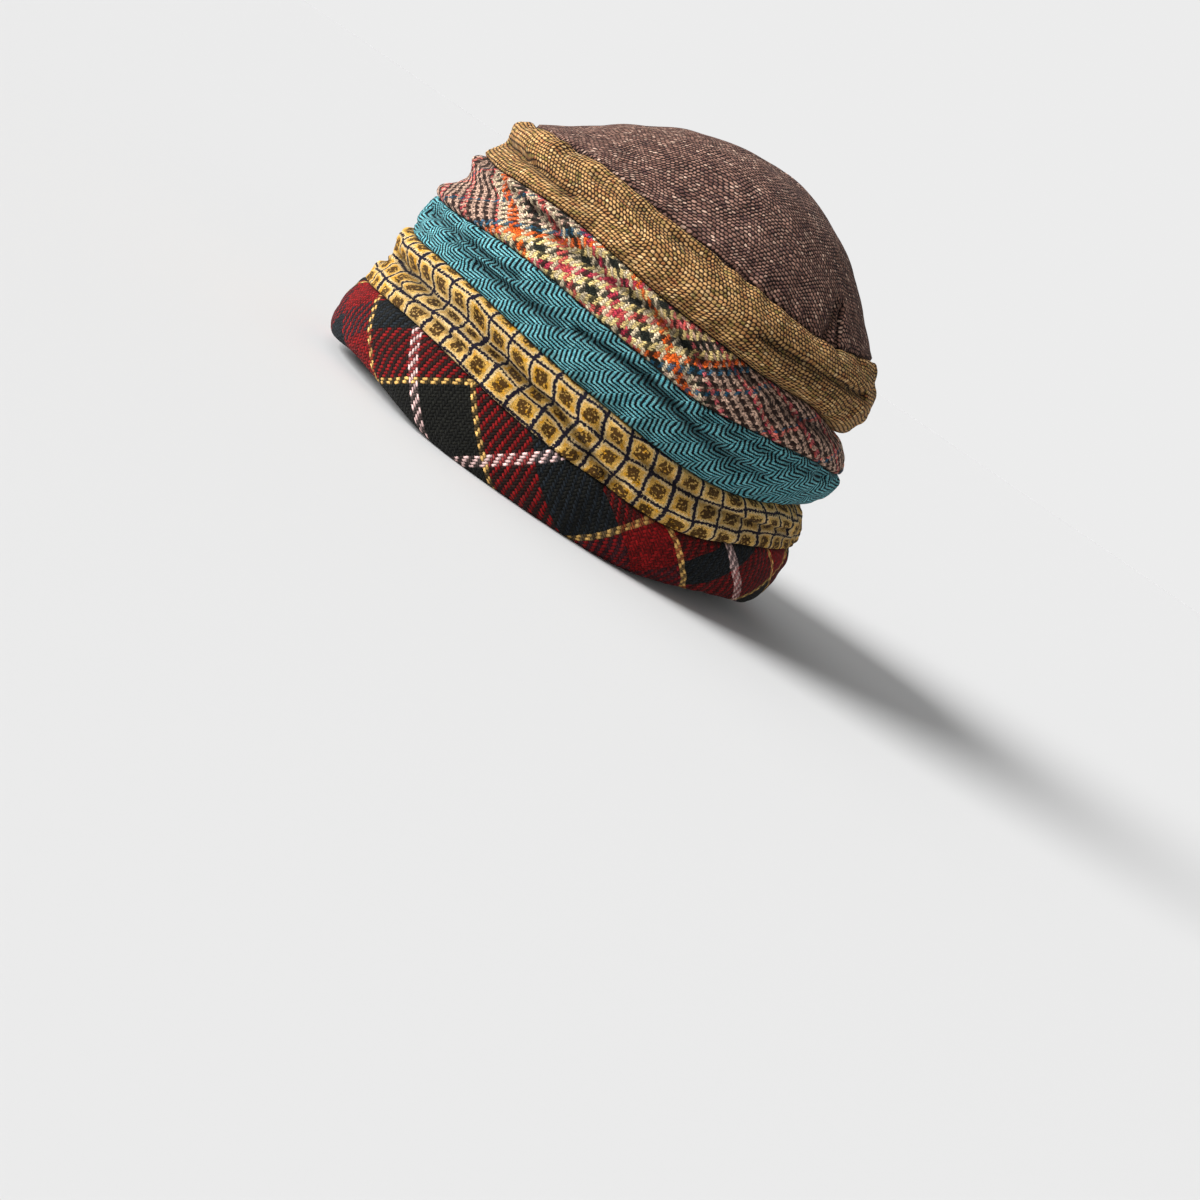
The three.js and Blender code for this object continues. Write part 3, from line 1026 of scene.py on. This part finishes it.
@dataclass
class Band:
    """One piece of cloth that goes round the hat: a closed wall between two seams."""

    name: str
    slot: str
    lower: Seam
    upper: Seam
    sections: tuple[Section, ...]
    finish: Any
    cloth: float = CLOTH
    tilt: tuple[float, float] = (0, 0)
    cut: Cut = Cut(0.03, 0.60)
    rests_on: tuple[str, ...] = ()
    around: int = 864
    rows: int = 46
    seam_gap: float = 0.12
    roll: float = 1.7
    roll_depth: float = 1.25
    softness: float = 1.0

    def grid(self) -> tuple[Array, Array]:
        """Works out the outer face as a grid of places and outward directions, lower edge to upper edge.

        Returns:
            The points and the outward directions.
        """
        table = np.array([self.lower.section, *self.sections, self.upper.section], float)
        after = self.beyond(table)
        last = len(table) - 1
        fine = np.linspace(0, last, 400)
        reading = smooth_rows(table, fine, after)
        steps = np.hypot(np.diff(reading[:, 2]), np.diff(reading[:, 3]))
        length = np.concatenate([[0], np.cumsum(steps)])
        places = np.interp(np.linspace(0, length[-1], self.rows), length, fine)
        sections = smooth_rows(table, places, after)
        share = places / last
        angles = self.angles()
        lifts = (1 - share)[:, None] * self.lower.lift(angles) + share[:, None] * self.upper.lift(angles)
        gaps = self.edge_gaps(share)
        tilts = self.tilt[0] + (self.tilt[1] - self.tilt[0]) * share
        points, outward = FORM.ring(sections, lifts + gaps[:, None], tilts, angles)
        points = points - outward * FORM.fold_depth(FOLDS, angles, points[..., 2])[..., None]
        return points, outward

    def beyond(self, table: Array) -> Array | None:
        """The section past the upper seam, where the form needs one."""
        return None

    def angles(self) -> Array:
        """Angles around the hat, from the wearer's right, where the band is joined."""
        return np.linspace(-90, 270, self.around, endpoint=False)

    def edge_gaps(self, share: Array) -> Array:
        """How far each row stands back from the seams: half a gap at each of the two edges."""
        return self.seam_gap / 2 * (1 - 2 * share)

    def roll_in(self, from_lower: Array, from_upper: Array) -> Array:
        """How far the cloth turns in at its edges: r - sqrt(r^2 - (r - d)^2), d from the edge."""
        off = np.clip(self.roll - np.minimum(from_lower, from_upper), 0, self.roll)
        return (self.roll - np.sqrt(self.roll**2 - off**2)) * self.roll_depth / self.roll

    def distances(self, points: Array) -> Array:
        """How far each row is up the cloth from the lower edge, along each column."""
        steps = np.linalg.norm(np.diff(points, axis=0), axis=-1)
        return np.concatenate([np.zeros((1, points.shape[1])), np.cumsum(steps, axis=0)])

    def from_upper(self, up: Array) -> Array:
        """How far each point is from the upper seam."""
        return up[-1] - up

    def layout(self, points: Array, up: Array) -> tuple[Array, Array]:
        """Lays the cloth flat, in millimetres.

        Args:
            points: the outer face, without rolled edges.
            up: how far each point is up the cloth.

        Returns:
            The length along the band, with one more column for its end, and the height up the band.
        """
        middle = points[points.shape[0] // 2]
        steps = np.linalg.norm(np.roll(middle, -1, axis=0) - middle, axis=-1)
        along = np.concatenate([[0], np.cumsum(steps)])
        along = np.broadcast_to(along, (points.shape[0], along.size))
        return along, np.concatenate([up, up[:, :1]], axis=1)

    def build(self) -> bpy.types.Object:
        """Makes the wall, dresses it and puts it in its node's place.

        The base colour gets painted shade by a mask: the depth in the folds / 5, in the creases / 3.2 and in
        the wrinkle valleys / 2.5, added up with 0.8 (turned in / roll depth)^2 beside a seam. The inner face
        gets none.

        Returns:
            The finished piece.
        """
        smooth, outward = self.grid()
        angles, z = self.angles(), smooth[..., 2]
        up = self.distances(smooth)
        roll = self.roll_in(up, up[-1] - up)
        creases = CREASE_DEPTH * FORM.fold_depth(CREASES, angles, z)
        wrinkles = FORM.wrinkles(angles, z) * self.softness
        relief = FORM.crumples(smooth) - creases + wrinkles
        relief += self.softness * FORM.puckers(angles, up, self.from_upper(up))
        outer = smooth + outward * (relief - roll)[..., None]
        inner = smooth + outward * (relief - self.cloth)[..., None]
        # Painted shade: a mask of the folds, creases, wrinkle valleys and rolled seam edges that darkens the
        # base colour.
        painted_shade = FORM.fold_depth(FOLDS, angles, z) / 5 + creases / 3.2 - wrinkles.clip(-1, 0) / 2.5
        painted_shade = painted_shade + (roll / self.roll_depth) ** 2 * 0.8
        along, high = self.layout(smooth, up)
        mesh = self.wall(
            np.concatenate([outer, inner[::-1]]) * MM,
            np.concatenate([along, along[::-1]]),
            np.concatenate([high, high[::-1]]),
            np.concatenate([painted_shade, np.zeros_like(painted_shade)]).clip(0, 1),
        )
        piece = bpy.data.objects.new(self.name + "_cloth", mesh)
        bpy.context.scene.collection.objects.link(piece)
        mesh.materials.append(self.finish.material())
        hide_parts(self.name)
        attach(piece, "root")
        log.info("%s: %d faces", piece.name, len(mesh.polygons))
        return piece

    def wall(self, profile: Array, along: Array, high: Array, painted_shade: Array) -> bpy.types.Mesh:
        """Joins a profile carried round the hat into a closed mesh.

        Args:
            profile: points, one row for each step round the wall's section, one column for each angle.
            along: the first UV coordinate, with one more column.
            high: the second UV coordinate, with one more column.
            painted_shade: how much painted shade each point gets, from 0 to 1.

        Returns:
            The mesh.
        """
        rows, columns = profile.shape[:2]
        row = np.arange(rows)[:, None]
        column = np.arange(columns)[None, :]
        next_row = (row + 1) % rows
        next_column = (column + 1) % columns
        corners = [(row, column), (row, next_column), (next_row, next_column), (next_row, column)]
        faces = np.stack([np.broadcast_to(r * columns + c, (rows, columns)) for r, c in corners], -1)
        uv_corners = [(row, column), (row, column + 1), (next_row, column + 1), (next_row, column)]
        uvs = np.stack([np.stack([along[r, c], high[r, c]], -1) for r, c in uv_corners], 2)
        points = profile.reshape(-1, 3)
        return cloth_mesh(self.name, points, faces.reshape(-1, 4), uvs.reshape(-1, 4, 2), painted_shade.ravel())


def cloth_mesh(name: str, points: Array, faces: Array, uvs: Array, painted_shade: Array) -> bpy.types.Mesh:
    """Makes a smooth mesh of quads, and of triangles where a quad's last two corners are one.

    Args:
        name: the mesh's name.
        points: the vertices.
        faces: four vertex numbers a face.
        uvs: two coordinates for each corner of each face.
        painted_shade: how much painted shade each vertex gets, from 0 to 1.

    Returns:
        The mesh.
    """
    keep = np.ones(faces.shape, bool)
    keep[:, 3] = faces[:, 3] != faces[:, 2]
    sizes = keep.sum(axis=1)
    mesh = bpy.data.meshes.new(name)
    mesh.vertices.add(len(points))
    mesh.vertices.foreach_set("co", points.astype(np.float32).ravel())
    mesh.loops.add(int(sizes.sum()))
    mesh.loops.foreach_set("vertex_index", faces[keep].astype(np.int32))
    mesh.polygons.add(len(faces))
    mesh.polygons.foreach_set("loop_start", (np.cumsum(sizes) - sizes).astype(np.int32))
    mesh.polygons.foreach_set("use_smooth", np.ones(len(faces), bool))
    layer = mesh.uv_layers.new(name=UV_NAME)
    layer.data.foreach_set("uv", uvs[keep].astype(np.float32).ravel())
    # Painted shade is stored as a vertex attribute that darkens the base colour in folds, creases and beside
    # seams.
    shade = mesh.attributes.new(PAINTED_SHADE_NAME, "FLOAT", "POINT")
    shade.data.foreach_set("value", painted_shade.astype(np.float32))
    mesh.update(calc_edges=True)
    mesh.validate()
    return mesh


@dataclass
class Hem(Band):
    """The hem, folded double: its lower edge is the round of the fold."""

    def edge_gaps(self, share: Array) -> Array:
        """Half a gap at the upper edge alone, because the rim stands on the floor."""
        return -self.seam_gap / 2 * share

    def roll_in(self, from_lower: Array, from_upper: Array) -> Array:
        """The usual roll at the seam, and half the cloth's thickness at the round of the rim."""
        half = self.cloth / 2
        off = np.clip(half - from_lower, 0, half)
        rounded = half - np.sqrt(half**2 - off**2)
        return np.maximum(super().roll_in(from_upper, from_upper), rounded)


@dataclass
class Crown(Band):
    """The dome, closed at the top. Laid flat, a length down from its top counts as a little less."""

    flattening: float = 0.92
    no_seam: float = 1000

    def beyond(self, table: Array) -> Array:
        """The section before the top, seen from the other side, so that the dome is level there."""
        front, front_z, side, side_z, back, back_z = table[-2]
        return np.array([back, back_z, -side, side_z, front, front_z])

    def edge_gaps(self, share: Array) -> Array:
        """Half a gap at the lower edge alone."""
        return self.seam_gap / 2 * (1 - share)

    def from_upper(self, up: Array) -> Array:
        """Nothing is near an upper seam, because the dome has none."""
        return np.full_like(up, self.no_seam)

    def roll_in(self, from_lower: Array, from_upper: Array) -> Array:
        """The usual roll at the seam alone."""
        return super().roll_in(from_lower, from_lower)

    def layout(self, points: Array, up: Array) -> tuple[Array, Array]:
        """Lays the dome flat as one round of cloth about its top.

        A point at an angle a and a distance r from the top lies at (-r cos a, -r sin a), so the weave
        keeps one direction all over the dome, level along the wearer's left side.

        Args:
            points: the outer face, without its rolled edge.
            up: how far each point is up the cloth.

        Returns:
            Both coordinates, each with one more column.
        """
        angles = np.radians(np.concatenate([self.angles(), [270]]))[None, :]
        left = self.flattening * (up[-1] - up)
        left = np.concatenate([left, left[:, :1]], axis=1)
        return -left * np.cos(angles), -left * np.sin(angles)

    def wall(self, profile: Array, along: Array, high: Array, painted_shade: Array) -> bpy.types.Mesh:
        """Joins the dome's two faces round the lower edge and closes each at the top.

        Args:
            profile: points of the outer face from the edge up, then of the inner face from the top down.
            along: the first UV coordinate, with one more column.
            high: the second UV coordinate, with one more column.
            painted_shade: how much painted shade each point gets, from 0 to 1.

        Returns:
            The mesh.
        """
        rows, columns = profile.shape[:2]
        top = self.rows - 1
        mesh_faces = []
        mesh_uvs = []
        numbers = np.arange(rows * columns).reshape(rows, columns)
        numbers[top] = numbers[top, 0]
        numbers[top + 1] = numbers[top + 1, 0]
        order = np.roll(np.arange(rows), -(top + 1))
        for lower, upper in zip(order[:-1], order[1:]):
            a, b = numbers[lower], np.roll(numbers[lower], -1)
            c, d = np.roll(numbers[upper], -1), numbers[upper]
            uv = [(lower, 0), (lower, 1), (upper, 1), (upper, 0)]
            corner_uv = [np.stack([along[r, s:s + columns], high[r, s:s + columns]], -1) for r, s in uv]
            if lower == top + 1:
                mesh_faces.append(np.stack([a, c, d, d], -1))
                mesh_uvs.append(np.stack([corner_uv[0], corner_uv[2], corner_uv[3], corner_uv[3]], 1))
            else:
                mesh_faces.append(np.stack([a, b, c, d], -1))
                mesh_uvs.append(np.stack(corner_uv, 1))
        faces = np.concatenate(mesh_faces)
        used, compact = np.unique(faces, return_inverse=True)
        points = profile.reshape(-1, 3)[used]
        faces = compact.reshape(faces.shape)
        return cloth_mesh(self.name, points, faces, np.concatenate(mesh_uvs), painted_shade.ravel()[used])


def toque_pieces() -> list[Band]:
    """The six pieces of cloth, from the hem up."""
    hem = Hem("hem_band", "tartan_twill", RIM, HEM_SEAM, (
        Section(-105.6, 3.5, 83.8, 3, 103.8, 3.5),
        Section(-107, 9.5, 85, 8, 106.6, 11),
        Section(-107.3, 16, 85.2, 13.5, 107.3, 19.5),
        Section(-106, 23.5, 84.4, 19.5, 107, 28),
    ), Tartan(), cloth=HEM_CLOTH, cut=Cut(0.030, 0.62), softness=0.35)
    printed = Band("print_band", "square_print", HEM_SEAM, PRINT_SEAM, (
        Section(-103, 33.5, 83.5, 28, 105.5, 38.5),
        Section(-102.5, 37.5, 84, 32, 105, 42.5),
        Section(-101, 41, 83.5, 36, 104, 44.5),
        Section(-99, 44, 83, 39, 103, 46.5),
        Section(-100.5, 48.5, 82.5, 42.5, 101.5, 48.5),
        Section(-100.5, 53, 81.5, 46, 99.5, 50.5),
    ), SquarePrint(), cut=Cut(0.029, 0.60), rests_on=("hem_band",))
    herringbone = Band("herringbone_band", "teal_herringbone", PRINT_SEAM, HERRINGBONE_SEAM, (
        Section(-97, 59.5, 81.5, 52.5, 100, 55),
        Section(-98, 62.5, 82.5, 57, 103.5, 59),
        Section(-97.5, 66.5, 82.5, 62.5, 105.5, 64),
        Section(-96.5, 70, 81.5, 67, 105.5, 68.5),
    ), Herringbone(), cut=Cut(0.027, 0.60), rests_on=("print_band",))
    check = Band("check_band", "check_tweed", HERRINGBONE_SEAM, CHECK_SEAM, (
        Section(-97, 76, 81, 74.5, 104, 73.5),
        Section(-95.5, 79.5, 81, 78.5, 102.5, 76.5),
        Section(-92, 82.5, 80.5, 82.5, 100.5, 79.5),
        Section(-89, 86, 79.5, 85.5, 98, 82),
        Section(-90.5, 90, 78.5, 88, 95.5, 83.2),
        Section(-91, 93.5, 77.5, 90, 93.5, 84),
    ), GlenCheck(), cut=Cut(0.026, 0.59), rests_on=("herringbone_band",))
    tan = Band("tan_band", "tan_hopsack", CHECK_SEAM, CROWN_SEAM, (
        Section(-88.5, 99.5, 77.5, 94.5, 95.5, 87),
        Section(-86, 102.5, 77.5, 99, 99, 92.5),
        Section(-83.5, 105.5, 76.5, 103.5, 99.5, 98.5),
        Section(-84.5, 109, 74.5, 107.5, 98, 105),
        Section(-84.5, 113, 71.5, 112, 94.5, 110),
        Section(-82, 116, 69.2, 114.5, 91.5, 114),
    ), DottedTweed(
        "tan_hopsack", (1.77, 1.53), Lines.STEPPED, (0.88, 0.66), 0.35,
        rgb(208, 164, 108), rgb(224, 188, 136), rgb(178, 128, 76), rgb(58, 31, 15),
        ((rgb(190, 148, 56), 5), (rgb(150, 86, 50), 4), (rgb(112, 104, 46), 4), (rgb(140, 100, 82), 3)),
        scatter=0.6, sway=5, turning=0.9,
    ), tilt=(0, 42), cut=Cut(0.031, 0.57), rests_on=("check_band",))
    crown = Crown("crown", "plum_tweed", CROWN_SEAM, CROWN_TOP, (
        Section(-73, 121, 64.6, 118.8, 85.5, 119),
        Section(-66, 125.5, 62, 122.4, 81.8, 122.8),
        Section(-58.5, 130.5, 58, 127.7, 77, 127.2),
        Section(-51, 136, 53, 133, 72, 132.2),
        Section(-43, 141, 47, 139, 65.5, 137.5),
        Section(-34, 146, 39.5, 145, 57, 144),
        Section(-23, 151, 29.5, 150.5, 46, 150),
        Section(-8, 155.5, 16, 155, 32.5, 155.5),
    ), DottedTweed(
        "plum_tweed", (1.65, 1.4), Lines.STAGGERED, (0.8, 0.54), 0.2,
        rgb(160, 122, 106), rgb(206, 172, 152), rgb(104, 70, 60), rgb(34, 17, 16),
        ((rgb(98, 66, 60), 5), (rgb(134, 106, 92), 4), (rgb(90, 60, 58), 4), (rgb(122, 96, 72), 3)),
        scatter=0.8, sway=6, turning=1.6,
    ), tilt=(42, 88), cut=Cut(0.165, 0.195, 0.0235), rests_on=("tan_band",),
        around=640, rows=76, softness=0.3)
    return [hem, printed, herringbone, check, tan, crown]


# ------------------------------------------------------------------------------------ the studio


class Sun(NamedTuple):
    """A broad soft light from far off: its name, the way to it, its strength and its breadth."""

    name: str
    towards: tuple[float, float, float]
    strength: float
    degrees: float


@dataclass
class Studio:
    """A pale floor that runs on into the backdrop, soft lights and the camera."""

    paper: float = 0.686
    backdrop: float = 0.84
    ceiling: float = 0.10
    floor_half: float = 12.0
    suns: tuple[Sun, ...] = (
        Sun("key", (0.25, -0.87, 0.43), 5.97, 32),
        Sun("top", (-0.2, -0.5, 0.84), 0.63, 60),
    )
    camera_place: tuple[float, float, float] = (0.6347, 0.0069, 0.1127)
    camera_forward: tuple[float, float, float] = (-0.9730, 0.0691, -0.2201)
    camera_down: tuple[float, float, float] = (0.2251, 0.5514, -0.8033)
    lens: float = 45.4
    sensor: float = 36.0

    def build(self) -> None:
        """Makes the floor, the world, the lights and the camera."""
        self.floor()
        self.world()
        self.lights()
        self.camera()

    def floor(self) -> None:
        """One flat square of paper at the height that the hat rests on."""
        low = CAD_BOX[0][2]
        half = self.floor_half
        corners = [(-half, -half, low), (half, -half, low), (half, half, low), (-half, half, low)]
        mesh = bpy.data.meshes.new("paper_floor")
        mesh.from_pydata(corners, [], [(0, 1, 2, 3)])
        paper = bpy.data.objects.new("paper_floor", mesh)
        bpy.context.scene.collection.objects.link(paper)
        graph = Graph("paper")
        shader = graph.node("ShaderNodeBsdfDiffuse", {}, {"Color": (self.paper, self.paper, self.paper, 1)})
        graph.node("ShaderNodeOutputMaterial", {}, {"Surface": Wire(graph, shader.outputs[0])})
        mesh.materials.append(graph.material)

    def world(self) -> None:
        """A sky as bright as the floor low down and dim overhead, by the height of each direction."""
        world = bpy.data.worlds.new("studio")
        world.use_nodes = True
        tree = world.node_tree
        way = tree.nodes.new("ShaderNodeTexCoord")
        split = tree.nodes.new("ShaderNodeSeparateXYZ")
        fade = tree.nodes.new("ShaderNodeMapRange")
        fade.interpolation_type = "SMOOTHSTEP"
        for place, value in enumerate((0.28, 0.55, self.backdrop, self.ceiling), start=1):
            fade.inputs[place].default_value = value
        tree.links.new(way.outputs["Generated"], split.inputs[0])
        tree.links.new(split.outputs[2], fade.inputs[0])
        tree.links.new(fade.outputs[0], tree.nodes["Background"].inputs["Strength"])
        tree.nodes["Background"].inputs["Color"].default_value = (1, 1, 1, 1)
        bpy.context.scene.world = world
        bpy.context.scene.view_settings.view_transform = "Standard"

    def lights(self) -> None:
        """The key light from low in front, and a weak one from above."""
        for sun in self.suns:
            data = bpy.data.lights.new(sun.name, "SUN")
            data.energy = sun.strength
            data.angle = math.radians(sun.degrees)
            lamp = bpy.data.objects.new(sun.name, data)
            lamp.rotation_euler = Vector(sun.towards).to_track_quat("Z", "Y").to_euler()
            bpy.context.scene.collection.objects.link(lamp)

    def camera(self) -> None:
        """The camera, from its forward and down directions."""
        forward = Vector(self.camera_forward).normalized()
        down = Vector(self.camera_down)
        up = (forward * down.dot(forward) - down).normalized()
        right = forward.cross(up)
        data = bpy.data.cameras.new("camera")
        data.sensor_width = self.sensor
        data.lens = self.lens
        camera = bpy.data.objects.new("camera", data)
        turned = Matrix((right, up, -forward)).transposed().to_4x4()
        camera.matrix_world = Matrix.Translation(self.camera_place) @ turned
        bpy.context.scene.collection.objects.link(camera)
        bpy.context.scene.camera = camera


def main() -> None:
    """Builds the studio and the six pieces of cloth."""
    logging.basicConfig(level=logging.INFO)
    Studio().build()
    for piece in toque_pieces():
        piece.build()


if __name__ == "__main__":
    main()
